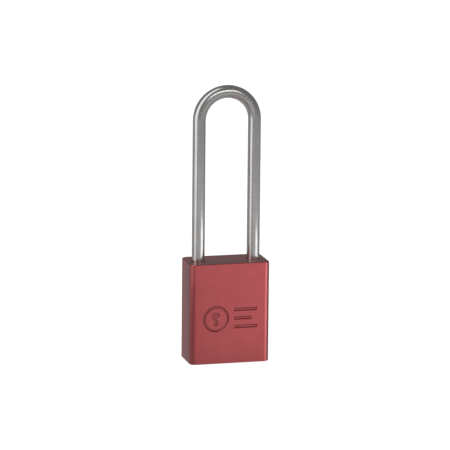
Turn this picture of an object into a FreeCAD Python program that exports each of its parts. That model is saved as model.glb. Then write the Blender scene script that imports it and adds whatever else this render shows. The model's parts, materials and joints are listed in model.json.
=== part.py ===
"""Key-operated safety padlock with a solid aluminium body and a long shackle.

Frame: millimetres, +Z up. The origin is the centre of the body's bottom face, the front face looks
along -Y, and the shackle's heel leg is on the -X side. The padlock stands with its shackle closed and
its plug turned to the open position, so both locking balls are drawn back from the shackle.
"""

import FreeCAD, Part
import math
import os
import re

import Sketcher
from FreeCAD import Placement, Rotation, Vector

# Driving dimensions: (alias, value in mm unless its meaning says otherwise, meaning)
DIMENSIONS = (
    ("body_width", 38.1, "body, side to side"),
    ("body_thickness", 19.05, "body, front to back"),
    ("body_height", 47.6, "body, bottom to top"),
    ("body_edge_radius", 2.5, "rounding of the four upright edges"),
    ("body_end_chamfer", 0.35, "bevel round the sawn top and bottom faces"),
    ("bore_mouth_chamfer", 0.3, "bevel at the mouth of each shackle bore"),
    ("leg_spacing", 26.4, "shackle legs, centre to centre"),
    ("shackle_diameter", 6.0, "shackle rod"),
    ("shackle_clearance", 76.2, "body top to the underside of the bend"),
    ("leg_clearance", 0.2, "radial gap round a leg in its bore"),
    ("leg_end_length", 4.2, "ball level to the tip of a leg, and groove to the heel's tip"),
    ("leg_end_chamfer", 0.8, "bevel at the tip of each leg"),
    ("lift_travel", 14.0, "how far the freed shackle rises"),
    ("tip_gap", 1.0, "toe tip to the retaining screw's head"),
    ("ball_diameter", 5.556, "locking ball"),
    ("ball_depth", 8.4, "body top to the level of the balls"),
    ("ball_engagement", 1.3, "how deep a locked ball reaches into a leg"),
    ("ball_gap", 0.2, "gap between a leg and a ball that is drawn back"),
    ("notch_clearance", 0.15, "gap round a locked ball in its notch"),
    ("passage_clearance", 0.12, "radial gap round a ball in its passage"),
    ("cam_clearance", 0.12, "gap between the cam and a ball"),
    ("cam_height", 6.6, "upright length of the cam"),
    ("cam_rise", 90, "turn over which the cam lifts the balls, in degrees"),
    ("cam_dwell", 14, "turn past the rise that stays at full radius, in degrees"),
    ("cam_return", 44, "turn over which the cam falls back, in degrees"),
    ("core_radius", 6.3, "bore above the cylinder that holds the actuator"),
    ("core_headroom", 0.4, "bore's end above the cam"),
    ("drum_radius", 5.9, "actuator's drum"),
    ("drum_height", 5.4, "actuator's drum"),
    ("waist_radius", 4.1, "actuator between drum and cam"),
    ("pilot_radius", 1.6, "pin on top of the actuator"),
    ("pilot_height", 1.3, "pin on top of the actuator"),
    ("running_clearance", 0.05, "radial gap of every running fit"),
    ("tongue_thickness", 2.4, "tongue on the plug that turns the actuator"),
    ("tongue_length", 8.0, "tongue, end to end"),
    ("tongue_height", 2.2, "tongue above the plug"),
    ("tongue_clearance", 0.1, "gap round the tongue in its slot"),
    ("face_recess", 0.5, "cylinder's face inside the body's bottom face"),
    ("housing_radius", 7.9, "round part of the cylinder housing"),
    ("housing_top", 28.5, "top of the cylinder housing above the body's bottom"),
    ("housing_clearance", 0.1, "gap round the housing in its pocket"),
    ("chamber_block_width", 8.0, "block on the housing that holds the pins"),
    ("chamber_block_reach", 15.6, "outer end of that block from the plug's axis"),
    ("block_corner_radius", 1.6, "rounding of the block's outer corners"),
    ("plug_radius", 5.9, "plug's barrel"),
    ("plug_head_radius", 6.7, "plug's head"),
    ("plug_head_height", 1.6, "plug's head"),
    ("dish_radius", 4.3, "shallow dish round the keyway"),
    ("dish_depth", 0.3, "shallow dish round the keyway"),
    ("rear_recess", 1.5, "depth of the housing's rear recess, which holds the clip"),
    ("rear_recess_radius", 6.95, "housing's rear recess"),
    ("journal_radius", 5.0, "plug behind the housing's bore"),
    ("clip_groove_radius", 4.3, "groove for the clip"),
    ("clip_thickness", 0.8, "retaining clip"),
    ("clip_radius", 6.6, "retaining clip, outside"),
    ("clip_opening", 5.2, "gap in the retaining clip"),
    ("keyway_width", 2.2, "keyway"),
    ("keyway_top", 2.6, "keyway's end from the plug's axis, on the pins' side"),
    ("ward_width", 0.8, "ridge that narrows the keyway"),
    ("upper_ward_low", 0.4, "start of the upper ridge from the plug's axis"),
    ("upper_ward_high", 1.2, "end of the upper ridge from the plug's axis"),
    ("lower_ward_low", -3.2, "start of the lower ridge from the plug's axis"),
    ("lower_ward_high", -1.8, "end of the lower ridge from the plug's axis"),
    ("keyway_end", 25.0, "keyway's blind end above the body's bottom"),
    ("first_pin_level", 5.0, "first pin chamber above the body's bottom"),
    ("pin_pitch", 3.9, "one pin chamber to the next"),
    ("pin_radius", 1.45, "key pins and driver pins"),
    ("chamber_radius", 1.5, "pin chambers"),
    ("chamber_floor", -1.5, "blind end of the plug's chambers from its axis"),
    ("key_pin_reach", 5.72, "outer end of the key pins from the plug's axis"),
    ("pin_bevel", 0.15, "bevel on the pins' outer ends"),
    ("key_pin_1_length", 4.0, "key pins, from the keyway's mouth inwards: the lock's own code"),
    ("key_pin_2_length", 4.9, "second key pin"),
    ("key_pin_3_length", 4.3, "third key pin"),
    ("key_pin_4_length", 5.5, "fourth key pin"),
    ("key_pin_5_length", 4.6, "fifth key pin"),
    ("pin_tip_radius", 0.5, "flat on a key pin's tip"),
    ("pin_tip_length", 0.8, "taper of a key pin's tip"),
    ("driver_gap", 0.03, "driver pins' gap above the plug"),
    ("driver_length", 4.4, "driver pin"),
    ("driver_groove_depth", 0.35, "ring grooves on a driver pin"),
    ("driver_groove_width", 0.5, "ring grooves on a driver pin"),
    ("cover_floor", 14.6, "inner side of the cover strip from the plug's axis"),
    ("cover_thickness", 0.8, "cover strip"),
    ("cover_width", 4.0, "cover strip"),
    ("cover_margin", 2.0, "cover strip past the first and last pins"),
    ("driver_spring_wire", 0.3, "driver spring's wire diameter"),
    ("driver_spring_radius", 1.15, "driver spring, to the middle of its wire"),
    ("driver_spring_turns", 6, "driver spring, a count"),
    ("shackle_spring_wire", 0.75, "shackle spring's wire diameter"),
    ("shackle_spring_radius", 2.35, "shackle spring, to the middle of its wire"),
    ("shackle_spring_turns", 7, "shackle spring, a count"),
    ("shackle_spring_length", 8.4, "shackle spring, pressed shut"),
    ("screw_offset", 12.8, "retaining screw from the plug's axis"),
    ("screw_radius", 1.45, "retaining screw over its thread"),
    ("screw_root_radius", 1.2, "retaining screw at the thread's root"),
    ("screw_pitch", 0.5, "retaining screw's thread"),
    ("screw_hole_radius", 1.55, "hole for the retaining screw"),
    ("screw_tip_level", 23.8, "tip of the retaining screw above the body's bottom"),
    ("screw_head_radius", 2.7, "retaining screw's head"),
    ("screw_head_height", 2.6, "retaining screw's head"),
    ("socket_width", 2.5, "hexagon socket, across flats"),
    ("socket_depth", 1.5, "hexagon socket"),
    ("emblem_x", -6.8, "middle of the stamped emblem from the body's middle"),
    ("emblem_z", 21.5, "middle of the stamped emblem above the body's bottom"),
    ("emblem_radius", 6.2, "outside of the emblem's ring"),
    ("emblem_line", 1.3, "width of the emblem's ring"),
    ("emblem_depth", 0.5, "depth of the stamping"),
    ("emblem_draft", 38, "slope of the stamping's walls, in degrees"),
    ("keyhole_radius", 1.9, "round part of the emblem's keyhole"),
    ("keyhole_rise", 1.1, "round part above the emblem's middle"),
    ("keyhole_slot", 1.7, "width of the emblem's keyhole slot"),
    ("keyhole_drop", 3.3, "foot of the keyhole slot below the emblem's middle"),
    ("emblem_bar_start", 1.8, "bars beside the emblem, from the body's middle"),
    ("emblem_bar_length", 11.2, "outer bars; the middle one is shorter"),
    ("emblem_bar_height", 1.6, "each bar"),
    ("emblem_bar_pitch", 4.1, "one bar to the next"),
    ("tick_count", 9, "stamped ticks on the bend, a count"),
    ("tick_first", 38, "angle of the first tick above the toe leg, in degrees"),
    ("tick_step", 5.5, "one tick to the next, in degrees"),
    ("tick_length", 1.5, "stamped tick"),
    ("tick_width", 0.4, "stamped tick"),
    ("tick_depth", 0.2, "stamped tick"),
)
PIN_COUNT = 5
CAM_SPIRAL_POINTS = 13  # the cam's rise passes through this many points
TINY = 1e-6  # mm; lengths under this count as nothing
JUST_INSIDE = 1e-9  # degrees; keeps an angle on its own side of a break in the cam's outline
ALIASES = re.compile(r"\b(" + "|".join(name for name, _, _ in DIMENSIONS) + r")\b")

# Derived sizes, as formulas over the aliases
LEG_X = "(leg_spacing / 2)"
LEG_RADIUS = "(shackle_diameter / 2)"
BORE_RADIUS = f"({LEG_RADIUS} + leg_clearance)"
BEND_LEVEL = f"(body_height + shackle_clearance + {LEG_RADIUS} - {LEG_X})"
BALL_RADIUS = "(ball_diameter / 2)"
BALL_LEVEL = "(body_height - ball_depth)"
BALL_TRAVEL = "(ball_gap + ball_engagement)"
BALL_OPEN_X = f"({LEG_X} - {LEG_RADIUS} - ball_gap - {BALL_RADIUS})"
BALL_LOCKED_X = f"({BALL_OPEN_X} + {BALL_TRAVEL})"
NOTCH_RADIUS = f"({BALL_RADIUS} + notch_clearance)"
TOE_TIP = f"({BALL_LEVEL} - leg_end_length)"
HEEL_GROOVE = f"({BALL_LEVEL} - lift_travel)"
HEEL_TIP = f"({HEEL_GROOVE} - leg_end_length)"
HEEL_BORE_FLOOR = f"({HEEL_TIP} - shackle_spring_length)"
SCREW_HEAD_TOP = f"({TOE_TIP} - tip_gap)"
TOE_BORE_FLOOR = f"({SCREW_HEAD_TOP} - screw_head_height)"
POCKET_TOP = "(housing_top + housing_clearance)"
CAM_FLOOR = f"({BALL_LEVEL} - cam_height / 2)"
CAM_TOP = f"({BALL_LEVEL} + cam_height / 2)"
CORE_TOP = f"({CAM_TOP} + core_headroom)"
CAM_LOW = f"({BALL_OPEN_X} - {BALL_RADIUS} - cam_clearance)"
DRUM_FLOOR = f"({POCKET_TOP} + core_headroom)"
BORE_END = "(housing_top - rear_recess)"
TONGUE_FLOOR = "(housing_top + running_clearance)"
PLUG_LENGTH = "(housing_top - face_recess)"
LAST_PIN_LEVEL = f"(first_pin_level + {PIN_COUNT - 1} * pin_pitch)"
DRIVER_START = "(plug_radius + driver_gap)"
DRIVER_END = f"({DRIVER_START} + driver_length)"

UPRIGHT = Rotation()
ALONG_X = Rotation(Vector(0, 1, 0), 90)  # turns +Z to +X
ALONG_Y = Rotation(Vector(1, 0, 0), -90)  # turns +Z to +Y
ALONG_MINUS_Y = Rotation(Vector(1, 0, 0), 90)  # turns +Z to -Y

doc = FreeCAD.newDocument("SafetyPadlock")


# ---------------------------------------------------------------- helpers


def make_sheet():
    """The driving dimensions, one row each: alias, value, meaning."""
    made = doc.addObject("Spreadsheet::Sheet", "Dimensions")
    for row, (name, value, meaning) in enumerate(DIMENSIONS, start=1):
        made.set(f"A{row}", name)
        made.set(f"B{row}", str(value))
        made.set(f"C{row}", meaning)
        made.setAlias(f"B{row}", name)
    doc.recompute()
    return made


sheet = make_sheet()
gauge = doc.addObject("App::FeaturePython", "Gauge")
gauge.addProperty("App::PropertyFloat", "Reading")


def formula(text):
    """An expression over the sheet, from one that names its aliases alone."""
    return ALIASES.sub(r"Dimensions.\1", str(text))


def size(text):
    """The value of a formula now, as a number, read off the gauge."""
    gauge.setExpression("Reading", formula(text))
    gauge.recompute()
    return gauge.Reading


def bind(thing, **formulas):
    """Ties properties to the sheet. A double underscore in a name stands for a dot."""
    for name, text in formulas.items():
        thing.setExpression(name.replace("__", "."), formula(text))
    return thing


def place(thing, x=0, y=0, z=0, turn=UPRIGHT):
    """Puts an object at a point given by formulas, turned as asked."""
    thing.Placement = Placement(Vector(size(x), size(y), size(z)), turn)
    for axis, text in (("x", x), ("y", y), ("z", z)):
        thing.setExpression(f"Placement.Base.{axis}", formula(text))
    return thing


def cylinder(name, radius, height, x=0, y=0, z=0, turn=UPRIGHT, owner=doc, kind="Part::Cylinder"):
    add = owner.addObject if owner is doc else owner.newObject
    return place(bind(add(kind, name), Radius=radius, Height=height), x, y, z, turn)


def cone(name, low_radius, high_radius, height, x=0, y=0, z=0, turn=UPRIGHT):
    made = doc.addObject("Part::Cone", name)
    return place(bind(made, Radius1=low_radius, Radius2=high_radius, Height=height), x, y, z, turn)


def box(name, length, width, height, x=0, y=0, z=0, turn=UPRIGHT, owner=doc, kind="Part::Box"):
    """A box whose lowest corner is at x, y, z."""
    add = owner.addObject if owner is doc else owner.newObject
    made = bind(add(kind, name), Length=length, Width=width, Height=height)
    return place(made, x, y, z, turn)


def fuse(name, pieces):
    made = doc.addObject("Part::MultiFuse", name)
    made.Shapes = pieces
    made.Refine = True
    return made


def cut(name, base, tools):
    """base without the tools."""
    made = doc.addObject("Part::Cut", name)
    made.Base = base
    made.Tool = tools[0] if len(tools) == 1 else fuse(f"{name}_removed", tools)
    made.Refine = True
    return made


def plane_of(body, role):
    return next(f for f in body.Origin.OriginFeatures if f.Role == role)


def sketch_on(body, name, role, offset=None):
    """An empty sketch on one of the body's own origin planes, moved along its normal by offset."""
    made = body.newObject("Sketcher::SketchObject", name)
    made.AttachmentSupport = (plane_of(body, role), [""])
    made.MapMode = "FlatFace"
    if offset is not None:
        made.setExpression("AttachmentOffset.Base.z", formula(offset))
    return made


def fix_point(sketch, geometry, point, axis, text, label):
    """Holds one coordinate of a point of the sketch at a formula's value."""
    value = size(text)
    line = -2 if axis == "X" else -1
    if abs(value) < TINY:
        sketch.addConstraint(Sketcher.Constraint("PointOnObject", geometry, point, line))
        return
    place_of = Sketcher.Constraint(f"Distance{axis}", -1, 1, geometry, point, value)
    index = sketch.addConstraint(place_of)
    sketch.renameConstraint(index, label)
    sketch.setExpression(f"Constraints.{label}", formula(text))


def outline(sketch, corners):
    """A closed run of straight lines through corners, each a pair of formulas."""
    points = [Vector(size(x), size(y), 0) for x, y in corners]
    for here, there in zip(points, points[1:] + points[:1]):
        sketch.addGeometry(Part.LineSegment(here, there), False)
    for i, (x, y) in enumerate(corners):
        before = (i - 1) % len(corners)
        sketch.addConstraint(Sketcher.Constraint("Coincident", before, 2, i, 1))
        fix_point(sketch, i, 1, "X", x, f"across{i}")
        fix_point(sketch, i, 1, "Y", y, f"along{i}")
    return sketch


def circles(sketch, rounds):
    """Circles, each given by formulas for its centre's two coordinates and its radius."""
    for i, (x, y, radius) in enumerate(rounds):
        centre = Vector(size(x), size(y), 0)
        sketch.addGeometry(Part.Circle(centre, Vector(0, 0, 1), size(radius)), False)
        fix_point(sketch, i, 3, "X", x, f"centre_across{i}")
        fix_point(sketch, i, 3, "Y", y, f"centre_along{i}")
        index = sketch.addConstraint(Sketcher.Constraint("Radius", i, size(radius)))
        sketch.renameConstraint(index, f"radius{i}")
        sketch.setExpression(f"Constraints.radius{i}", formula(radius))
    return sketch


def turned(name, profile):
    """A turned piece: a body whose profile of (radius, height) corners is revolved about +Z."""
    body = doc.addObject("PartDesign::Body", name)
    profile_sketch = outline(sketch_on(body, f"{name}_profile", "XZ_Plane"), profile)
    revolution = body.newObject("PartDesign::Revolution", f"{name}_turning")
    revolution.Profile = profile_sketch
    revolution.ReferenceAxis = (profile_sketch, ["V_Axis"])
    revolution.Angle = 360
    return body


def spring(name, radius, wire, turns, length, x, y, z, turn=UPRIGHT):
    """A coil of round wire that fills the stated length, its axis along the turned +Z."""
    coil = doc.addObject("Part::Helix", f"{name}_coil")
    rise = f"({length} - {wire})"
    bind(coil, Radius=radius, Height=rise, Pitch=f"{rise} / {turns}")
    inset = turn.multVec(Vector(0, 0, size(wire) / 2))
    start = (f"{x} + {inset.x}", f"{y} + {inset.y}", f"{z} + {inset.z}")
    place(coil, *start, turn)
    section = doc.addObject("Part::Circle", f"{name}_section")
    bind(section, Radius=f"{wire} / 2")
    reach = turn.multVec(Vector(size(radius), 0, 0))
    at = [f"{s} + {r}" for s, r in zip(start, (reach.x, reach.y, reach.z))]
    place(section, *at, turn.multiply(ALONG_MINUS_Y))
    made = doc.addObject("Part::Sweep", name)
    made.Sections = [section]
    made.Spine = (coil, ["Edge1"])
    made.Solid = True
    made.Frenet = True
    return made


# ---------------------------------------------------------------- body and shackle


def round_edges(body, feature, kind, name, value, test):
    """A fillet or chamfer on each edge of the feature that passes the test."""
    doc.recompute()
    edges = [f"Edge{i + 1}" for i, e in enumerate(feature.Shape.Edges) if test(e.BoundBox)]
    made = body.newObject(kind, name)
    made.Base = (feature, edges)
    if kind.endswith("Fillet"):
        bind(made, Radius=value)
    else:
        bind(made, Size=value)
    return made


def stamp(body, name, outline_sketch):
    """Presses a sketch on the front face into it, with sloping walls."""
    pressed = body.newObject("PartDesign::Pocket", name)
    pressed.Profile = outline_sketch
    bind(pressed, Length="emblem_depth", TaperAngle="-emblem_draft")


def stamp_emblem(body):
    """A plain keyhole in a ring with three short bars beside it, stamped into the front face."""

    def on_front(name):
        return sketch_on(body, f"{name}_outline", "XZ_Plane", "body_thickness / 2")

    def stamp_block(name, left, right, low, high):
        corners = [(left, low), (right, low), (right, high), (left, high)]
        stamp(body, name, outline(on_front(name), corners))

    inner_radius = "emblem_radius - emblem_line"
    ring = [("emblem_x", "emblem_z", "emblem_radius"), ("emblem_x", "emblem_z", inner_radius)]
    stamp(body, "emblem_ring", circles(on_front("emblem_ring"), ring))
    head = [("emblem_x", "emblem_z + keyhole_rise", "keyhole_radius")]
    stamp(body, "emblem_keyhole", circles(on_front("emblem_keyhole"), head))
    stamp_block(
        "emblem_slot", "emblem_x - keyhole_slot / 2", "emblem_x + keyhole_slot / 2",
        "emblem_z - keyhole_drop", "emblem_z + keyhole_rise",
    )
    for row in (-1, 0, 1):
        middle = f"emblem_z + {row} * emblem_bar_pitch"
        stamp_block(
            f"emblem_bar_{row + 2}", "emblem_bar_start",
            f"emblem_bar_start + emblem_bar_length * {3 + abs(row)} / 4",
            f"{middle} - emblem_bar_height / 2", f"{middle} + emblem_bar_height / 2",
        )


def lock_body():
    body = doc.addObject("PartDesign::Body", "lock_body")
    half_width, half_depth = "body_width / 2", "body_thickness / 2"
    section = outline(
        sketch_on(body, "block_section", "XY_Plane"),
        [
            (f"-{half_width}", f"-{half_depth}"),
            (half_width, f"-{half_depth}"),
            (half_width, half_depth),
            (f"-{half_width}", half_depth),
        ],
    )
    block = body.newObject("PartDesign::Pad", "block")
    block.Profile = section
    bind(block, Length="body_height")
    rounded = round_edges(
        body, block, "PartDesign::Fillet", "upright_edges", "body_edge_radius",
        lambda b: b.ZLength > 1,
    )
    round_edges(
        body, rounded, "PartDesign::Chamfer", "sawn_edges", "body_end_chamfer",
        lambda b: b.ZLength < TINY,
    )
    doc.recompute()

    def bore(name, radius, height, x=0, z=0):
        cylinder(name, radius, height, x, 0, z, UPRIGHT, body, "PartDesign::SubtractiveCylinder")

    bore("heel_bore", BORE_RADIUS, f"body_height - {HEEL_BORE_FLOOR}", f"-{LEG_X}", HEEL_BORE_FLOOR)
    bore("toe_bore", BORE_RADIUS, f"body_height - {TOE_BORE_FLOOR}", LEG_X, TOE_BORE_FLOOR)
    for side, x in (("heel", f"-{LEG_X}"), ("toe", LEG_X)):
        mouth = body.newObject("PartDesign::SubtractiveCone", f"{side}_bore_mouth")
        widest = f"{BORE_RADIUS} + bore_mouth_chamfer"
        bind(mouth, Radius1=BORE_RADIUS, Radius2=widest, Height="bore_mouth_chamfer")
        place(mouth, x, 0, "body_height - bore_mouth_chamfer")
    bore("core_bore", "core_radius", f"{CORE_TOP} - {POCKET_TOP}", 0, POCKET_TOP)
    pilot_depth = "pilot_height + core_headroom"
    bore("pilot_bore", "pilot_radius + running_clearance", pilot_depth, 0, CORE_TOP)
    bore("cylinder_bore", "housing_radius + housing_clearance", POCKET_TOP)
    block_width = "(chamber_block_width + 2 * housing_clearance)"
    pocket = box(
        "chamber_pocket", "chamber_block_reach + housing_clearance", block_width, POCKET_TOP,
        0, f"-{block_width} / 2", 0, UPRIGHT, body, "PartDesign::SubtractiveBox",
    )
    pocket_end = size("chamber_block_reach + housing_clearance")
    round_edges(
        body, pocket, "PartDesign::Fillet", "chamber_pocket_corners",
        "block_corner_radius + housing_clearance",
        lambda b: b.ZLength > 1 and b.XLength < TINY and abs(b.XMin - pocket_end) < TINY,
    )
    bore("screw_hole", "screw_hole_radius", f"{TOE_BORE_FLOOR} - {POCKET_TOP}", "screw_offset", POCKET_TOP)
    passage_half = f"({LEG_X} - {LEG_RADIUS} / 2)"
    cylinder(
        "ball_passage", f"{BALL_RADIUS} + passage_clearance", f"2 * {passage_half}",
        f"-{passage_half}", 0, BALL_LEVEL, ALONG_X, body, "PartDesign::SubtractiveCylinder",
    )
    stamp_emblem(body)
    return body


def leg(side, x, tip):
    """An upright leg from its bevelled tip to the bend."""
    end = cone(
        f"{side}_leg_tip", f"{LEG_RADIUS} - leg_end_chamfer", LEG_RADIUS, "leg_end_chamfer", x, 0, tip
    )
    shaft_floor = f"({tip} + leg_end_chamfer)"
    shaft = cylinder(f"{side}_leg", LEG_RADIUS, f"{BEND_LEVEL} - {shaft_floor}", x, 0, shaft_floor)
    return [end, shaft]


def bend_ticks():
    """A generic row of ticks stamped into the front of the bend, above the toe leg."""
    ticks = []
    for i in range(int(size("tick_count"))):
        angle = size("tick_first") + i * size("tick_step")
        tick = doc.addObject("Part::Box", f"tick_{i + 1}")
        bind(tick, Length="tick_length", Width=f"{LEG_RADIUS}", Height="tick_width")
        inner = size(LEG_X) - size("tick_length") / 2
        turn = Rotation(Vector(0, 1, 0), -angle)
        corner = turn.multVec(Vector(inner, 0, -size("tick_width") / 2))
        depth = size(LEG_RADIUS) - size("tick_depth")
        base = Vector(corner.x, -depth - size(LEG_RADIUS), size(BEND_LEVEL) + corner.z)
        tick.Placement = Placement(base, turn)
        ticks.append(tick)
    return ticks


def shackle():
    bend = doc.addObject("Part::Torus", "bend")
    bind(bend, Radius1=LEG_X, Radius2=LEG_RADIUS)
    bend.Angle3 = 180
    place(bend, 0, 0, BEND_LEVEL, ALONG_MINUS_Y)
    heel = leg("heel", f"-{LEG_X}", HEEL_TIP)
    toe = leg("toe", LEG_X, TOE_TIP)
    rod = fuse("shackle_rod", [*heel, *toe, bend])
    removed = []
    for side, x in (("heel", f"-{BALL_LOCKED_X}"), ("toe", BALL_LOCKED_X)):
        removed.append(
            cylinder(
                f"{side}_notch", NOTCH_RADIUS, "2 * shackle_diameter",
                x, "-shackle_diameter", BALL_LEVEL, ALONG_Y,
            )
        )
    groove = doc.addObject("Part::Torus", "heel_groove")
    bind(groove, Radius1=f"{LEG_X} - {BALL_LOCKED_X}", Radius2=NOTCH_RADIUS)
    removed.append(place(groove, f"-{LEG_X}", 0, HEEL_GROOVE))
    return cut("shackle", rod, removed + bend_ticks())


def shackle_spring():
    return spring(
        "shackle_spring", "shackle_spring_radius", "shackle_spring_wire", "shackle_spring_turns",
        "shackle_spring_length", f"-{LEG_X}", "0", HEEL_BORE_FLOOR,
    )


# ---------------------------------------------------------------- locking balls and actuator


def locking_ball(name, x):
    ball = doc.addObject("Part::Sphere", name)
    bind(ball, Radius=BALL_RADIUS)
    return place(ball, x, 0, BALL_LEVEL)


def cam_radius(turn):
    """The cam's radius at an angle from the open ball, in degrees; it repeats every half turn."""
    low, travel = size(CAM_LOW), size(BALL_TRAVEL)
    rise, dwell, fall = size("cam_rise"), size("cam_dwell"), size("cam_return")
    turn %= 180
    if turn <= rise:
        return low + travel * turn / rise
    if turn <= rise + dwell:
        return low + travel
    if turn <= rise + dwell + fall:
        return low + travel * (1 - (turn - rise - dwell) / fall)
    return low


def cam_edges():
    """The cam's outline: a spiral rise, a dwell, a straight return and a low dwell, twice round."""
    rise, dwell, fall = size("cam_rise"), size("cam_dwell"), size("cam_return")
    breaks = [0, rise, rise + dwell, rise + dwell + fall, 180]

    def at(turn):
        r, a = cam_radius(turn), math.radians(turn)
        return Vector(r * math.cos(a), r * math.sin(a), 0)

    edges = []
    for half in (0, 180):
        for stage, (start, end) in enumerate(zip(breaks, breaks[1:])):
            inside = half + end - JUST_INSIDE
            first, last = at(half + start), at(inside)
            if stage == 0:
                step = (end - start) / (CAM_SPIRAL_POINTS - 1)
                turns = [half + start + step * i for i in range(CAM_SPIRAL_POINTS)]
                spiral = Part.BSplineCurve()
                spiral.interpolate([at(min(turn, inside)) for turn in turns])
                edges.append(spiral.toShape())
            elif stage == 2:
                edges.append(Part.LineSegment(first, last).toShape())
            else:
                edges.append(Part.Arc(first, at(half + (start + end) / 2), last).toShape())
    return edges


def actuator():
    """Drum with a slot for the plug's tongue, waist, cam and pilot pin."""
    drum = cylinder("actuator_drum", "drum_radius", "drum_height", z=DRUM_FLOOR)
    waist_floor = f"({DRUM_FLOOR} + drum_height)"
    waist = cylinder("actuator_waist", "waist_radius", f"{CAM_FLOOR} - {waist_floor}", z=waist_floor)
    pilot = cylinder("actuator_pilot", "pilot_radius", "pilot_height", z=CAM_TOP)
    cam = doc.addObject("Part::Feature", "actuator_cam")
    profile = Part.Face(Part.Wire(Part.__sortEdges__(cam_edges())))
    cam.Shape = profile.extrude(Vector(0, 0, size("cam_height")))
    cam.Placement = Placement(Vector(0, 0, size(CAM_FLOOR)), UPRIGHT)
    slot_width = "(tongue_thickness + 2 * tongue_clearance)"
    slot_top = f"({TONGUE_FLOOR} + tongue_height + tongue_clearance)"
    slot = box(
        "actuator_slot", "2 * drum_radius", slot_width, f"{slot_top} - {DRUM_FLOOR}",
        "-drum_radius", f"-{slot_width} / 2", DRUM_FLOOR,
    )
    return cut("actuator", fuse("actuator_blank", [drum, waist, cam, pilot]), [slot])


# ---------------------------------------------------------------- cylinder


def pin_levels():
    """The level of each pin chamber, as formulas."""
    return [f"(first_pin_level + {i} * pin_pitch)" for i in range(PIN_COUNT)]


def cylinder_housing():
    barrel = cylinder("housing_barrel", "housing_radius", PLUG_LENGTH, z="face_recess")
    block = box(
        "chamber_block", "chamber_block_reach", "chamber_block_width", PLUG_LENGTH,
        0, "-chamber_block_width / 2", "face_recess",
    )
    doc.recompute()
    reach = size("chamber_block_reach")
    outer = [
        (i + 1, size("block_corner_radius"), size("block_corner_radius"))
        for i, e in enumerate(block.Shape.Edges)
        if e.BoundBox.ZLength > 1 and e.BoundBox.XMin > reach - 0.1
    ]
    rounded = doc.addObject("Part::Fillet", "chamber_block_rounded")
    rounded.Base = block
    rounded.Edges = outer
    head_radius = "plug_head_radius + running_clearance"
    head_height = "plug_head_height + running_clearance"
    removed = [
        cylinder("plug_bore", "plug_radius + running_clearance", PLUG_LENGTH, z="face_recess"),
        cylinder("head_seat", head_radius, head_height, z="face_recess"),
        cylinder("rear_seat", "rear_recess_radius", "rear_recess", z=BORE_END),
        cylinder(
            "screw_thread_hole", "screw_hole_radius", f"housing_top - screw_tip_level + tip_gap",
            "screw_offset", 0, "screw_tip_level - tip_gap",
        ),
        box(
            "cover_slot", "cover_thickness", "cover_width",
            f"{LAST_PIN_LEVEL} - first_pin_level + 2 * cover_margin",
            "cover_floor", "-cover_width / 2", "first_pin_level - cover_margin",
        ),
    ]
    for i, level in enumerate(pin_levels(), start=1):
        name = f"driver_chamber_{i}"
        removed.append(cylinder(name, "chamber_radius", "cover_floor", 0, 0, level, ALONG_X))
    return cut("cylinder_housing", fuse("housing_blank", [barrel, rounded]), removed)


def cylinder_plug():
    """Turned barrel with a head, a clip groove and a driving tongue, slotted for the key and the pins."""
    head_top = "(face_recess + plug_head_height)"
    groove_floor = f"({BORE_END} + running_clearance)"
    groove_top = f"({groove_floor} + clip_thickness + running_clearance)"
    blank = turned(
        "plug_blank",
        [
            ("0", "face_recess + dish_depth"),
            ("dish_radius - dish_depth", "face_recess + dish_depth"),
            ("dish_radius", "face_recess"),
            ("plug_head_radius", "face_recess"),
            ("plug_head_radius", head_top),
            ("plug_radius", head_top),
            ("plug_radius", BORE_END),
            ("clip_groove_radius", BORE_END),
            ("clip_groove_radius", groove_top),
            ("journal_radius", groove_top),
            ("journal_radius", TONGUE_FLOOR),
            ("0", TONGUE_FLOOR),
        ],
    )
    tongue_block = box(
        "tongue_block", "tongue_length", "tongue_thickness", "tongue_height",
        "-tongue_length / 2", "-tongue_thickness / 2", TONGUE_FLOOR,
    )
    # the keyway runs from the plug's outside to keyway_top; two ridges narrow it from opposite sides
    half = "keyway_width / 2"
    narrow = "(keyway_width - ward_width)"
    depth = "keyway_end - face_recess"
    stages = (
        ("keyway_foot", half, "keyway_width", "-plug_head_radius", "lower_ward_low"),
        ("keyway_lower", half, narrow, "lower_ward_low", "lower_ward_high"),
        ("keyway_middle", half, "keyway_width", "lower_ward_high", "upper_ward_low"),
        ("keyway_upper", f"{half} - ward_width", narrow, "upper_ward_low", "upper_ward_high"),
        ("keyway_head", half, "keyway_width", "upper_ward_high", "keyway_top"),
    )
    removed = [
        box(name, width, f"({high}) - ({low})", depth, f"-({left})", low, "face_recess")
        for name, left, width, low, high in stages
    ]
    for i, level in enumerate(pin_levels(), start=1):
        length = "plug_head_radius - (chamber_floor)"
        removed.append(
            cylinder(f"key_chamber_{i}", "chamber_radius", length, 0, "chamber_floor", level, ALONG_Y)
        )
    return cut("cylinder_plug", fuse("plug_with_tongue", [blank, tongue_block]), removed)


def plug_retaining_clip():
    level = f"({BORE_END} + running_clearance)"
    inner = "(clip_groove_radius + running_clearance)"
    ring = cylinder("clip_ring", "clip_radius", "clip_thickness", z=level)
    hole = cylinder("clip_hole", inner, "clip_thickness", z=level)
    half = "clip_opening / 2"
    mouth = box("clip_mouth", "clip_radius", "clip_opening", "clip_thickness", 0, f"-{half}", level)
    return cut("plug_retaining_clip", ring, [hole, mouth])


def key_pin(number, level):
    """A brass pin with a tapered tip that a key lifts; at rest it lies along +Y in the turned plug."""
    length = f"key_pin_{number}_length"
    made = turned(
        f"key_pin_{number}",
        [
            ("0", "0"),
            ("pin_tip_radius", "0"),
            ("pin_radius", "pin_tip_length"),
            ("pin_radius", f"{length} - pin_bevel"),
            ("pin_radius - pin_bevel", length),
            ("0", length),
        ],
    )
    return place(made, 0, f"key_pin_reach - {length}", level, ALONG_Y)


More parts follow.
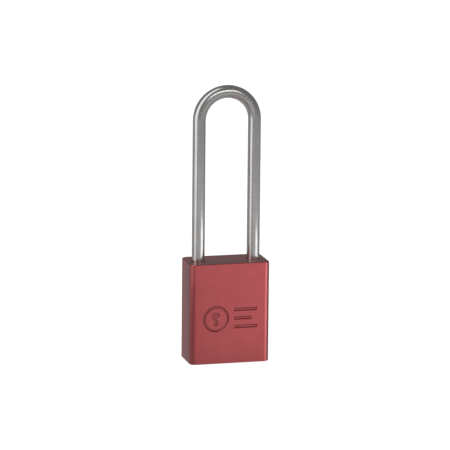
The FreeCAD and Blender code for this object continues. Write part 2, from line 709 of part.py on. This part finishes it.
def driver_pin(number, level):
    """A steel pin with two ring grooves; at rest it stands on the plug, along +X."""
    groove = "(pin_radius - driver_groove_depth)"
    profile = [("0", "0"), ("pin_radius - pin_bevel", "0"), ("pin_radius", "pin_bevel")]
    for share in (1, 2):
        middle = f"driver_length * {share} / 3"
        low = f"({middle} - driver_groove_width / 2)"
        high = f"({middle} + driver_groove_width / 2)"
        profile += [("pin_radius", low), (groove, low), (groove, high), ("pin_radius", high)]
    profile += [
        ("pin_radius", "driver_length - pin_bevel"),
        ("pin_radius - pin_bevel", "driver_length"),
        ("0", "driver_length"),
    ]
    return place(turned(f"driver_pin_{number}", profile), DRIVER_START, 0, level, ALONG_X)


def driver_spring(number, level):
    return spring(
        f"driver_spring_{number}", "driver_spring_radius", "driver_spring_wire",
        "driver_spring_turns", f"(cover_floor - {DRIVER_END})", DRIVER_END, "0", level, ALONG_X,
    )


def pin_chamber_cover():
    height = f"{LAST_PIN_LEVEL} - first_pin_level + 2 * cover_margin"
    strip = box(
        "cover_strip", "cover_thickness", "cover_width", height,
        "cover_floor", "-cover_width / 2", "first_pin_level - cover_margin",
    )
    doc.recompute()
    made = doc.addObject("Part::Chamfer", "pin_chamber_cover")
    made.Base = strip
    bevel = size("pin_bevel")
    outer = size("cover_floor") + size("cover_thickness")
    made.Edges = [
        (i + 1, bevel, bevel)
        for i, e in enumerate(strip.Shape.Edges)
        if e.BoundBox.XMin > outer - 0.1
    ]
    return made


def cylinder_retaining_screw():
    """Socket-head screw; its thread is drawn as rings of the thread's pitch and depth."""
    profile = [("0", "0"), ("screw_root_radius - pin_bevel", "0"), ("screw_root_radius", "pin_bevel")]
    thread_floor, thread_top = "pin_bevel", "housing_top - screw_tip_level"
    rings = int((size(thread_top) - size(thread_floor)) / size("screw_pitch"))
    for i in range(rings):
        start = f"{thread_floor} + {i} * screw_pitch"
        profile += [
            ("screw_radius", f"{start} + screw_pitch / 2"),
            ("screw_root_radius", f"{start} + screw_pitch"),
        ]
    head_floor = f"({TOE_BORE_FLOOR} - screw_tip_level)"
    head_top = f"({head_floor} + screw_head_height)"
    profile += [
        ("screw_root_radius", head_floor),
        ("screw_head_radius", head_floor),
        ("screw_head_radius", f"{head_top} - 2 * pin_bevel"),
        ("screw_head_radius - 2 * pin_bevel", head_top),
        ("0", head_top),
    ]
    blank = place(turned("screw_blank", profile), "screw_offset", 0, "screw_tip_level")
    socket = doc.addObject("Part::Prism", "screw_socket")
    socket.Polygon = 6
    bind(socket, Circumradius="socket_width / sqrt(3)", Height="socket_depth")
    place(socket, "screw_offset", 0, f"{SCREW_HEAD_TOP} - socket_depth")
    return cut("cylinder_retaining_screw", blank, [socket])


# ---------------------------------------------------------------- assembly and export


def make_parts():
    parts = [lock_body(), shackle(), shackle_spring()]
    parts += [
        locking_ball("locking_ball_heel", f"-{BALL_OPEN_X}"),
        locking_ball("locking_ball_toe", BALL_OPEN_X),
        actuator(),
        cylinder_housing(),
        cylinder_plug(),
        plug_retaining_clip(),
        pin_chamber_cover(),
        cylinder_retaining_screw(),
    ]
    for number, level in enumerate(pin_levels(), start=1):
        parts += [key_pin(number, level), driver_pin(number, level), driver_spring(number, level)]
    return parts


def check(parts):
    """Stops if an object failed, or if a part isn't one valid solid."""
    for thing in doc.Objects:
        if {"Invalid", "Error"} & set(thing.State):
            raise RuntimeError(f"{thing.Name} failed: {thing.State}")
    for part in parts:
        shape = part.Shape
        if shape.isNull() or not shape.isValid() or len(shape.Solids) != 1 or shape.Volume <= 0:
            raise RuntimeError(f"{part.Label} isn't one valid solid")


def main():
    parts = make_parts()
    doc.recompute()
    check(parts)
    os.makedirs("parts", exist_ok=True)
    for part in parts:
        part.Shape.exportStep(f"parts/{part.Label}.step")
        print(f"{part.Label}: {part.Shape.Volume:.2f} mm3")


main()
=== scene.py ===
import json
import math

import bpy
from mathutils import Matrix, Vector


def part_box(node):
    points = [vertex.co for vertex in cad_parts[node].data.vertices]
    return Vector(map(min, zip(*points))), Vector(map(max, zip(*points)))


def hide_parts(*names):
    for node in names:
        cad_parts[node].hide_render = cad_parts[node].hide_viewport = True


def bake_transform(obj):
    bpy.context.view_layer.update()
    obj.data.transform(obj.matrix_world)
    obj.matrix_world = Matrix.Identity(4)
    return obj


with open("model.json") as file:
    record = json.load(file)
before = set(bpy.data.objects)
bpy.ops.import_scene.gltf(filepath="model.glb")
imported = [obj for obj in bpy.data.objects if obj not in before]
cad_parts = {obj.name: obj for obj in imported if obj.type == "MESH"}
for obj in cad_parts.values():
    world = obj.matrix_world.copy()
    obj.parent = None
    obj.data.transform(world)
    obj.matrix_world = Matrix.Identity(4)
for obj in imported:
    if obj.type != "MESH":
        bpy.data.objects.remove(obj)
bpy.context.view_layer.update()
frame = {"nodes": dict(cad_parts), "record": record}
nodes = frame["nodes"]

MM = 0.001
WAVE_SCALE = math.tau / 20  # a wave texture with this scale repeats once a metre
AXIS_X, AXIS_Z = 0, 2
MIX_A, MIX_B, MIX_RESULT = 6, 7, 2  # the colour sockets of a Mix node, whose other sockets share their names
FLAT_COSINE, EDGE_COSINE = 0.995, 0.85  # between the true and the rounded normal, on a face and on an edge
PINS = range(1, 6)
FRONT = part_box("lock_body")[0].y

# ---------------------------------------------------------------- shader helpers


class Shader:
    """A material's node tree with a Principled shader and short ways to add nodes to it."""

    def __init__(self, name, metallic=1.0, roughness=0.3):
        self.material = bpy.data.materials.new(name)
        self.material.use_nodes = True
        self.tree = self.material.node_tree
        self.tree.nodes.clear()
        self.output = self.add("ShaderNodeOutputMaterial")
        self.surface = self.add("ShaderNodeBsdfPrincipled")
        self.link(self.surface.outputs["BSDF"], self.output.inputs["Surface"])
        self.set(Metallic=metallic, Roughness=roughness)
        self.place = self.add("ShaderNodeTexCoord").outputs["Object"]

    def add(self, kind, **settings):
        node = self.tree.nodes.new(kind)
        for name, value in settings.items():
            setattr(node, name, value)
        return node

    def link(self, source, target):
        self.tree.links.new(source, target)

    def feed(self, socket, value):
        """Links a socket's value if it is an output, and sets it otherwise."""
        if isinstance(value, bpy.types.NodeSocket):
            self.link(value, socket)
        else:
            socket.default_value = value

    def set(self, **values):
        """Sets or links the Principled shader's inputs; an underscore in a name is a space."""
        for name, value in values.items():
            self.feed(self.surface.inputs[name.replace("_", " ")], value)

    def math(self, operation, a, b=0.0, clamp=False):
        node = self.add("ShaderNodeMath", operation=operation, use_clamp=clamp)
        self.feed(node.inputs[0], a)
        self.feed(node.inputs[1], b)
        return node.outputs[0]

    def spread(self, value, low, high, to_low=0.0, to_high=1.0):
        """Maps low..high to to_low..to_high with soft ends."""
        node = self.add("ShaderNodeMapRange", interpolation_type="SMOOTHSTEP")
        for socket, amount in zip(node.inputs, (value, low, high, to_low, to_high)):
            self.feed(socket, amount)
        return node.outputs[0]

    def noise(self, size_mm, stretch=(1, 1, 1), detail=3.0, roughness=0.55, place=None):
        """Noise with features of about size_mm, longer along an axis where stretch is above 1."""
        mapping = self.add("ShaderNodeMapping")
        self.link(place or self.place, mapping.inputs["Vector"])
        mapping.inputs["Scale"].default_value = [1 / s for s in stretch]
        node = self.add("ShaderNodeTexNoise")
        self.link(mapping.outputs["Vector"], node.inputs["Vector"])
        node.inputs["Scale"].default_value = 1 / (size_mm * MM)
        node.inputs["Detail"].default_value = detail
        node.inputs["Roughness"].default_value = roughness
        return node.outputs["Fac"]

    def rings(self, pitch_mm, axis="Z", distortion=0.4):
        """Fine parallel tool marks stacked along an axis."""
        node = self.add("ShaderNodeTexWave", wave_type="BANDS", bands_direction=axis)
        self.link(self.place, node.inputs["Vector"])
        node.inputs["Scale"].default_value = WAVE_SCALE / (pitch_mm * MM)
        node.inputs["Distortion"].default_value = distortion
        node.inputs["Detail"].default_value = 2.0
        return node.outputs["Fac"]

    def axis_part(self, source, axis):
        """One component of a vector."""
        node = self.add("ShaderNodeSeparateXYZ")
        self.link(source, node.inputs[0])
        return node.outputs[axis]

    def normal_part(self, axis):
        """How far the true surface faces along an axis, -1 to 1."""
        return self.axis_part(self.add("ShaderNodeNewGeometry").outputs["True Normal"], axis)

    def edges(self, width_mm):
        """1 on sharp edges, falling to 0 inside the faces."""
        bevel = self.add("ShaderNodeBevel", samples=6)
        bevel.inputs["Radius"].default_value = width_mm * MM
        product = self.add("ShaderNodeVectorMath", operation="DOT_PRODUCT")
        self.link(bevel.outputs["Normal"], product.inputs[0])
        self.link(self.add("ShaderNodeNewGeometry").outputs["Normal"], product.inputs[1])
        return self.spread(product.outputs["Value"], FLAT_COSINE, EDGE_COSINE)

    def blend(self, factor, first, second):
        """A colour between first (factor 0) and second (factor 1)."""
        node = self.add("ShaderNodeMix", data_type="RGBA")
        self.feed(node.inputs["Factor"], factor)
        for socket, colour in ((node.inputs[MIX_A], first), (node.inputs[MIX_B], second)):
            self.feed(socket, (*colour, 1) if isinstance(colour, tuple) else colour)
        return node.outputs[MIX_RESULT]

    def relief(self, *layers):
        """Bumps the surface by layers of (height, depth in mm)."""
        normal = None
        for height, depth_mm in layers:
            bump = self.add("ShaderNodeBump")
            bump.inputs["Distance"].default_value = depth_mm * MM
            self.link(height, bump.inputs["Height"])
            if normal is not None:
                self.link(normal, bump.inputs["Normal"])
            normal = bump.outputs["Normal"]
        self.link(normal, self.surface.inputs["Normal"])


# ---------------------------------------------------------------- materials


def anodised_red():
    """Satin red anodising on blasted aluminium: a metal sheen under a thin clear oxide."""
    s = Shader("anodised_red", roughness=0.34)
    red, deep, worn = (0.78, 0.098, 0.107), (0.73, 0.088, 0.096), (0.84, 0.30, 0.29)
    clouds = s.spread(s.noise(9, detail=4), 0.3, 0.7)
    drawn = s.noise(0.5, stretch=(1, 1, 40), detail=2)
    edge = s.edges(0.35)
    scuffs = s.spread(s.noise(1.1, detail=5), 0.5, 0.66)
    colour = s.blend(clouds, red, deep)
    colour = s.blend(s.math("MULTIPLY", edge, s.spread(scuffs, 0, 1, 0.04, 0.35)), colour, worn)
    # painted shade: the floors of the stamped lines are darkened below the face around them
    depth = s.axis_part(s.place, "Y")
    below_the_face = s.spread(depth, FRONT + 0.05 * MM, FRONT + 0.2 * MM)
    in_the_front_half = s.spread(depth, 0, FRONT / 2)
    stamped_recess_shade = s.math("MULTIPLY", below_the_face, in_the_front_half)
    colour = s.blend(s.math("MULTIPLY", stamped_recess_shade, 0.54), colour, (0.30, 0.035, 0.04))
    s.set(Base_Color=colour)
    grain = s.noise(0.14, detail=3)
    roughness = s.math("ADD", s.spread(drawn, 0.3, 0.7, 0.33, 0.39), s.spread(grain, 0.3, 0.7, -0.03, 0.03))
    s.set(Roughness=roughness, Specular_Tint=(0.27, 0.36, 0.30, 1), IOR=1.6)
    s.set(Coat_Weight=1.0, Coat_Roughness=0.26, Coat_IOR=1.75)
    sawn = s.spread(s.math("ABSOLUTE", s.normal_part("Z")), 0.8, 0.95)
    saw_marks = s.math("MULTIPLY", s.rings(0.35, "Y", 1.5), sawn)
    s.relief((saw_marks, 0.012), (grain, 0.006), (drawn, 0.003))
    return s.material


def along_rod(s):
    """Coordinates that follow the shackle: X outwards in the bend's plane, Y, and Z along the rod."""
    low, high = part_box("shackle")
    bend_level = high.z - high.x
    bend_radius = high.x - (high.y - low.y) / 2
    x, y, z = (s.axis_part(s.place, axis) for axis in "XYZ")
    height = s.math("SUBTRACT", z, bend_level)
    rise = s.math("MAXIMUM", height, 0)
    drop = s.math("MULTIPLY", s.math("MINIMUM", height, 0), s.math("SIGN", x))
    outwards = s.math("SQRT", s.math("ADD", s.math("MULTIPLY", x, x), s.math("MULTIPLY", rise, rise)))
    turned = s.math("MULTIPLY", s.math("ARCTAN2", rise, x), bend_radius)
    joined = s.add("ShaderNodeCombineXYZ")
    for socket, value in zip(joined.inputs, (outwards, y, s.math("ADD", turned, drop))):
        s.link(value, socket)
    return joined.outputs[0]


def satin_chrome():
    """Satin chrome plate on the shackle, with fine lengthwise polishing lines and light rub marks."""
    s = Shader("satin_chrome")
    rod = along_rod(s)
    lines = s.noise(0.35, stretch=(1, 1, 60), detail=2, place=rod)
    clouds = s.spread(s.noise(9, detail=3, place=rod), 0.3, 0.7)
    rubbed = s.spread(s.noise(2.2, stretch=(1, 1, 3), detail=6, roughness=0.7, place=rod), 0.58, 0.7)
    s.set(Base_Color=s.blend(clouds, (0.60, 0.585, 0.575), (0.55, 0.54, 0.53)))
    roughness = s.math("ADD", s.spread(lines, 0.3, 0.7, 0.19, 0.23), s.math("MULTIPLY", rubbed, 0.04))
    s.set(Roughness=roughness)
    s.relief((lines, 0.0003), (s.noise(5.5, detail=0, place=rod), 0.006))
    return s.material


def machined(name, bright, dull, roughness, mark_pitch, mark_axis="Z", mark_depth=0.004, grime=0.3):
    """A turned or milled metal: tool marks, blotchy tarnish, brighter worn edges, blotches of dirt."""
    s = Shader(name)
    tarnish = s.spread(s.noise(2.6, detail=5, roughness=0.65), 0.35, 0.7)
    marks = s.rings(mark_pitch, mark_axis)
    edge = s.edges(0.15)
    dark = tuple(c * (1 - grime) for c in dull)
    colour = s.blend(tarnish, bright, dull)
    colour = s.blend(s.spread(s.noise(0.9, detail=6), 0.58, 0.75, 0, 0.7), colour, dark)
    colour = s.blend(s.math("MULTIPLY", edge, 0.6), colour, tuple(min(1, c * 1.15) for c in bright))
    s.set(Base_Color=colour)
    tarnished = s.spread(tarnish, 0, 1, roughness, roughness + 0.12)
    s.set(Roughness=s.math("ADD", tarnished, s.math("MULTIPLY", marks, 0.04)))
    s.relief((marks, mark_depth), (s.noise(0.12), 0.002))
    return s.material


def faced_brass():
    """The plug: bright brass, its visible end faced on a lathe with fine rings about the keyway."""
    s = Shader("plug_brass")
    tarnish = s.spread(s.noise(2.2, detail=5, roughness=0.65), 0.35, 0.7)
    node = s.add("ShaderNodeTexWave", wave_type="RINGS", rings_direction="Z")
    s.link(s.place, node.inputs["Vector"])
    node.inputs["Scale"].default_value = WAVE_SCALE / (0.18 * MM)
    node.inputs["Distortion"].default_value = 0.3
    facing = node.outputs["Fac"]
    scratches = s.spread(s.noise(0.5, stretch=(1, 6, 1), detail=5), 0.6, 0.72)
    colour = s.blend(tarnish, (0.80, 0.62, 0.33), (0.66, 0.48, 0.24))
    colour = s.blend(s.math("MULTIPLY", s.edges(0.2), 0.6), colour, (0.92, 0.76, 0.46))
    s.set(Base_Color=s.blend(s.math("MULTIPLY", scratches, 0.3), colour, (0.45, 0.32, 0.16)))
    s.set(Roughness=s.spread(tarnish, 0, 1, 0.22, 0.34))
    s.relief((facing, 0.004), (scratches, 0.004))
    return s.material


def polished_steel():
    """Bearing balls: mirror-like, with faint rolling marks."""
    s = Shader("bearing_steel")
    haze = s.spread(s.noise(1.6, detail=5), 0.4, 0.7)
    s.set(Base_Color=s.blend(haze, (0.68, 0.68, 0.69), (0.58, 0.58, 0.60)))
    marks = s.noise(0.25, stretch=(8, 1, 1), detail=4)
    s.set(Roughness=s.spread(marks, 0.35, 0.7, 0.07, 0.16))
    s.relief((marks, 0.0008))
    return s.material


def spring_wire(name, bright, dull):
    """Drawn wire with faint lengthwise lines and a dark bloom here and there."""
    s = Shader(name)
    bloom = s.spread(s.noise(0.8, detail=5), 0.45, 0.7)
    drawn = s.noise(0.08, detail=3)
    s.set(Base_Color=s.blend(bloom, bright, dull))
    s.set(Roughness=s.spread(drawn, 0.3, 0.7, 0.26, 0.38))
    s.relief((drawn, 0.001))
    return s.material


def blackened_steel():
    """Black oxide on the retaining screw, rubbed to bare steel on its corners."""
    s = Shader("black_oxide")
    mottled = s.spread(s.noise(0.7, detail=5), 0.35, 0.7)
    colour = s.blend(mottled, (0.085, 0.085, 0.095), (0.14, 0.135, 0.13))
    s.set(Base_Color=s.blend(s.math("MULTIPLY", s.edges(0.12), 0.7), colour, (0.42, 0.41, 0.40)))
    s.set(Roughness=s.spread(mottled, 0, 1, 0.34, 0.48))
    s.relief((s.noise(0.1), 0.002))
    return s.material


STEEL, DULL_STEEL = (0.60, 0.60, 0.61), (0.44, 0.44, 0.46)
BRASS, DULL_BRASS = (0.74, 0.56, 0.29), (0.57, 0.41, 0.20)

finishes = {
    "anodised_body": anodised_red(),
    "shackle_steel": satin_chrome(),
    "ball_steel": polished_steel(),
    "actuator_steel": machined("actuator_steel", (0.55, 0.54, 0.51), (0.36, 0.34, 0.31), 0.30, 0.30),
    "housing_brass": machined("housing_brass", BRASS, DULL_BRASS, 0.30, 0.28),
    "plug_brass": faced_brass(),
    "clip_steel": machined("clip_steel", (0.42, 0.42, 0.45), (0.26, 0.26, 0.29), 0.30, 0.20, "X"),
    "cover_brass": machined("cover_brass", BRASS, DULL_BRASS, 0.28, 0.24, "Y"),
    "screw_steel": blackened_steel(),
    "key_pin_brass": machined("key_pin_brass", (0.80, 0.64, 0.36), (0.64, 0.48, 0.24), 0.22, 0.14, "Y"),
    "driver_pin_steel": machined("driver_pin_steel", STEEL, DULL_STEEL, 0.22, 0.14, "X"),
    "spring_steel": spring_wire("spring_steel", (0.55, 0.55, 0.57), (0.34, 0.34, 0.36)),
    "spring_bronze": spring_wire("spring_bronze", (0.75, 0.48, 0.28), (0.52, 0.30, 0.16)),
}

for entry in frame["record"]["subparts"]:
    mesh = nodes[entry["node"]].data
    mesh.materials.clear()
    mesh.materials.append(finishes[entry["material_slot"]])

# ---------------------------------------------------------------- coil springs in place of the CAD springs


def coil_mesh(name, radius, wire, turns, length, sides=14, steps_per_turn=28):
    """A coil of round wire with flat-cut ends, from 0 to length along +Z."""
    steps = turns * steps_per_turn
    rise = length - wire
    slope = math.atan2(rise / turns, math.tau * radius)
    points = []
    for i in range(steps + 1):
        turn = math.tau * turns * i / steps
        out = Vector((math.cos(turn), math.sin(turn), 0))
        level = Vector((-math.sin(turn), math.cos(turn), 0)) * math.cos(slope)
        along = level + Vector((0, 0, math.sin(slope)))
        across = along.cross(out)
        centre = out * radius + Vector((0, 0, wire / 2 + rise * i / steps))
        for k in range(sides):
            around = math.tau * k / sides
            points.append(centre + (out * math.cos(around) + across * math.sin(around)) * wire / 2)
    faces = []
    for i in range(steps):
        for k in range(sides):
            a, b = i * sides + k, i * sides + (k + 1) % sides
            faces.append((b, a, a + sides, b + sides))
    faces.append(tuple(range(sides)))
    faces.append(tuple(steps * sides + k for k in reversed(range(sides))))
    mesh = bpy.data.meshes.new(name)
    mesh.from_pydata(points, [], faces)
    mesh.polygons.foreach_set("use_smooth", [True] * (len(faces) - 2) + [False] * 2)
    mesh.update()
    return mesh


SHACKLE_COIL = {"radius": 2.35 * MM, "wire": 0.75 * MM, "turns": 7}
DRIVER_COIL = {"radius": 1.15 * MM, "wire": 0.3 * MM, "turns": 6}


def spring_piece(node, slot, axis, mover, radius, wire, turns):
    """A coil in place of a CAD spring, spanning its length along an axis. The mover argument is not used."""
    low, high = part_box(node)
    middle = (low + high) / 2
    start, end = middle.copy(), middle.copy()
    start[axis], end[axis] = low[axis], high[axis]
    mesh = coil_mesh(f"{node}_coil", radius, wire, turns, high[axis] - low[axis])
    mesh.materials.append(finishes[slot])
    piece = bpy.data.objects.new(f"{node}_coil", mesh)
    bpy.context.scene.collection.objects.link(piece)
    upright = Matrix.Identity(4) if axis == AXIS_Z else Matrix.Rotation(math.pi / 2, 4, "Y")
    piece.matrix_world = Matrix.Translation(start) @ upright
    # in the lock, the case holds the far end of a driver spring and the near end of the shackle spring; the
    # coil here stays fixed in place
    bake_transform(piece)
    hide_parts(node)


spring_piece("shackle_spring", "spring_steel", AXIS_Z, "shackle", **SHACKLE_COIL)
for i in PINS:
    spring_piece(f"driver_spring_{i}", "spring_bronze", AXIS_X, f"driver_pin_{i}", **DRIVER_COIL)

# ---------------------------------------------------------------- studio


def emitter(name, strength):
    """A plain glow that isn't sampled as a lamp: it only shows where something looks at it."""
    material = bpy.data.materials.new(name)
    material.use_nodes = True
    tree = material.node_tree
    tree.nodes.clear()
    glow = tree.nodes.new("ShaderNodeEmission")
    glow.inputs["Strength"].default_value = strength
    output = tree.nodes.new("ShaderNodeOutputMaterial")
    tree.links.new(glow.outputs[0], output.inputs["Surface"])
    material.cycles.emission_sampling = "NONE"
    return material


def show_only_to(thing, *rays):
    for ray in ("camera", "diffuse", "glossy", "transmission", "volume_scatter", "shadow"):
        setattr(thing, f"visible_{ray}", ray in rays)


def toward(azimuth, elevation=0):
    """The direction at an azimuth from the front towards +X and an elevation, in degrees."""
    turn, rise = math.radians(azimuth), math.radians(elevation)
    return Vector((math.sin(turn) * math.cos(rise), -math.cos(turn) * math.cos(rise), math.sin(rise)))


def card_glow():
    """Each card glows as strongly as its corners say, evenly graded between them."""
    material = emitter("card_glow", 1.0)
    tree = material.node_tree
    glow = tree.nodes.new("ShaderNodeAttribute")
    glow.attribute_name = "glow"
    tree.links.new(glow.outputs["Fac"], tree.nodes["Emission"].inputs["Strength"])
    return material


def card(name, azimuth, width, *stops):
    """A strip of card at an azimuth, seen only in reflections, through (distance, level, glow) stops."""
    across = toward(azimuth + 90) * width / 2
    corners, glows = [], []
    for distance, level, glow in stops:
        middle = toward(azimuth) * distance + Vector((0, 0, level))
        corners += [middle - across, middle + across]
        glows += [glow, glow]
    faces = [(k, k + 1, k + 3, k + 2) for k in range(0, len(corners) - 2, 2)]
    mesh = bpy.data.meshes.new(name)
    mesh.from_pydata(corners, [], faces)
    mesh.attributes.new("glow", "FLOAT", "POINT").data.foreach_set("value", glows)
    mesh.materials.append(card_surface)
    thing = bpy.data.objects.new(name, mesh)
    bpy.context.scene.collection.objects.link(thing)
    show_only_to(thing, "glossy")


def floor_and_dome():
    """A pale floor just under the padlock, unseen from below, and a pale dome far behind everything."""
    bpy.ops.mesh.primitive_plane_add(size=2 * DOME_RADIUS, location=(0, 0, -FLOOR_GAP))
    floor = bpy.context.object
    floor.name = "floor"
    paint = bpy.data.materials.new("floor_white")
    paint.use_nodes = True
    tree = paint.node_tree
    surface = tree.nodes["Principled BSDF"]
    surface.inputs["Base Color"].default_value = (FLOOR_GREY, FLOOR_GREY, FLOOR_GREY, 1)
    surface.inputs["Emission Color"].default_value = (1, 1, 1, 1)
    surface.inputs["Emission Strength"].default_value = FLOOR_GLOW
    surface.inputs["Roughness"].default_value = 1.0
    surface.inputs["Specular IOR Level"].default_value = 0.0
    sided = tree.nodes.new("ShaderNodeMixShader")
    tree.links.new(tree.nodes.new("ShaderNodeNewGeometry").outputs["Backfacing"], sided.inputs[0])
    tree.links.new(surface.outputs[0], sided.inputs[1])
    tree.links.new(tree.nodes.new("ShaderNodeBsdfTransparent").outputs[0], sided.inputs[2])
    tree.links.new(sided.outputs[0], tree.nodes["Material Output"].inputs["Surface"])
    paint.cycles.emission_sampling = "NONE"
    floor.data.materials.append(paint)
    show_only_to(floor, "camera", "diffuse", "shadow")
    bpy.ops.mesh.primitive_uv_sphere_add(radius=DOME_RADIUS, segments=48, ring_count=24)
    dome = bpy.context.object
    dome.name = "dome"
    dome.data.materials.append(emitter("dome_white", DOME_GLOW))
    show_only_to(dome, "camera")


def area_lamp(name, position, target, size, power):
    """A soft square lamp that reflections don't show."""
    lamp = bpy.data.lights.new(name, "AREA")
    lamp.shape = "SQUARE"
    lamp.size = size
    lamp.energy = power
    thing = bpy.data.objects.new(name, lamp)
    bpy.context.scene.collection.objects.link(thing)
    thing.location = position
    thing.rotation_euler = (Vector(target) - Vector(position)).to_track_quat("-Z", "Y").to_euler()
    thing.visible_glossy = False


def room():
    """Grey surroundings, graded along a few directions whose greys multiply."""
    world = bpy.data.worlds.new("studio")
    world.use_nodes = True
    tree = world.node_tree
    sight = tree.nodes.new("ShaderNodeTexCoord").outputs["Generated"]
    light = None
    for azimuth, elevation, start, end, at_start, at_end in ROOM_GRADES:
        along = tree.nodes.new("ShaderNodeVectorMath")
        along.operation = "DOT_PRODUCT"
        tree.links.new(sight, along.inputs[0])
        along.inputs[1].default_value = toward(azimuth, elevation)
        grade = tree.nodes.new("ShaderNodeMapRange")
        grade.interpolation_type = "SMOOTHSTEP"
        for socket, value in zip(list(grade.inputs)[1:5], (start, end, at_start, at_end)):
            socket.default_value = value
        tree.links.new(along.outputs["Value"], grade.inputs["Value"])
        product = tree.nodes.new("ShaderNodeMath")
        product.operation = "MULTIPLY"
        tree.links.new(grade.outputs[0], product.inputs[0])
        product.inputs[1].default_value = 1.0
        if light is not None:
            tree.links.new(light, product.inputs[1])
        light = product.outputs[0]
    tree.links.new(light, tree.nodes["Background"].inputs["Color"])
    world.cycles.sampling_method = "NONE"
    bpy.context.scene.world = world


# each grade: azimuth and elevation of its direction, cosines from and to, greys at those two
ROOM_GRADES = (
    (-130, 0, 0.40, 0.95, 0.31, 0.37),
    (0, 90, -0.12, 0.30, 1.0, 0.70),
    (0, -90, 0.35, 0.90, 1.0, 1.5),
)
DOME_RADIUS, DOME_GLOW = 4.5, 1.01
FLOOR_GAP, FLOOR_GREY, FLOOR_GLOW = 0.05 * MM, 0.40, 0.86
LAMP_PLACE, LAMP_SIZE, LAMP_POWER = (-0.15, -0.1, 1.6), 1.6, 16.0
room()
floor_and_dome()
area_lamp("overhead", LAMP_PLACE, (0, 0, 0), LAMP_SIZE, LAMP_POWER)
card_surface = card_glow()
# cards: azimuth in degrees, width, then the stops from the lowest up
card("card_left", -72, 0.36,
     (0.45, -0.40, 0.45), (0.45, -0.06, 0.47), (0.45, -0.045, 1.25), (0.45, 0.0, 1.3), (0.45, 0.4, 1.45),
     (0.40, 0.65, 1.5), (0.28, 0.85, 1.5), (0.12, 0.98, 1.5), (0.0, 1.0, 0.5))
card("card_right", 50, 0.32,
     (0.45, -0.13, 1.5), (0.45, -0.055, 1.75), (0.45, -0.045, 2.9), (0.45, -0.034, 2.6),
     (0.45, -0.018, 0.6), (0.45, 0.0, 0.45), (0.45, 0.03, 0.38))
card("card_front", 15, 1.3,
     (0.55, -0.30, 0.53), (0.55, -0.10, 0.59), (0.55, -0.045, 0.63), (0.55, -0.017, 0.48),
     (0.55, 0.002, 0.38), (0.55, 0.021, 0.32), (0.55, 0.05, 0.29))
card("card_high", 10, 0.46, (0.60, 0.27, 2.0), (0.60, 0.47, 2.8))
# flags: small dim cards close to the padlock, which darken parts of its faces and edges
card("flag_left", -40, 0.14, (0.13, -0.10, 0.24), (0.13, 0.01, 0.24))
card("flag_front", -12, 0.056, (0.11, -0.12, 0.27), (0.11, 0.024, 0.27))
card("flag_side", -75, 0.08, (0.10, -0.12, 0.34), (0.10, 0.022, 0.34))
card("flag_low", 10, 0.16, (0.118, -0.14, 0.34), (0.118, -0.03, 0.34))
card("flag_edge", -39, 0.036, (0.041, -0.020, 0.32), (0.041, 0.036, 0.32))
card("flag_foot", 0, 0.08, (0.032, -0.050, 0.20), (0.032, -0.007, 0.20))
card("flag_right", 60, 0.16,
     (0.10, 0.042, 0.60), (0.10, 0.055, 0.52), (0.10, 0.075, 0.45), (0.10, 0.11, 0.38))

# ---------------------------------------------------------------- camera and output

AIM = Vector((0, 0, 66 * MM))
YAW, PITCH, ROLL = -14.92, 11.83, -0.556  # degrees
DISTANCE = 1.526
SENSOR = 36.0
FIELD = 0.2091  # metres across the picture at the padlock's distance
OFF_CENTRE = (0.00045, 0.00206)  # the padlock's aim point from the picture's middle, in metres


def place_camera():
    back = toward(YAW, PITCH)
    level = toward(YAW + 90)
    up = back.cross(level)
    roll = math.radians(ROLL)
    right = level * math.cos(roll) - up * math.sin(roll)
    top = level * math.sin(roll) + up * math.cos(roll)
    lens = bpy.data.cameras.new("camera")
    lens.sensor_width = SENSOR
    lens.lens = SENSOR * DISTANCE / FIELD
    lens.clip_start, lens.clip_end = 0.05, 50
    camera = bpy.data.objects.new("camera", lens)
    bpy.context.scene.collection.objects.link(camera)
    seat = AIM - right * OFF_CENTRE[0] - top * OFF_CENTRE[1] + back * DISTANCE
    camera.matrix_world = Matrix.Translation(seat) @ Matrix((right, top, back)).transposed().to_4x4()
    bpy.context.scene.camera = camera


place_camera()
bpy.context.scene.view_settings.view_transform = "Standard"
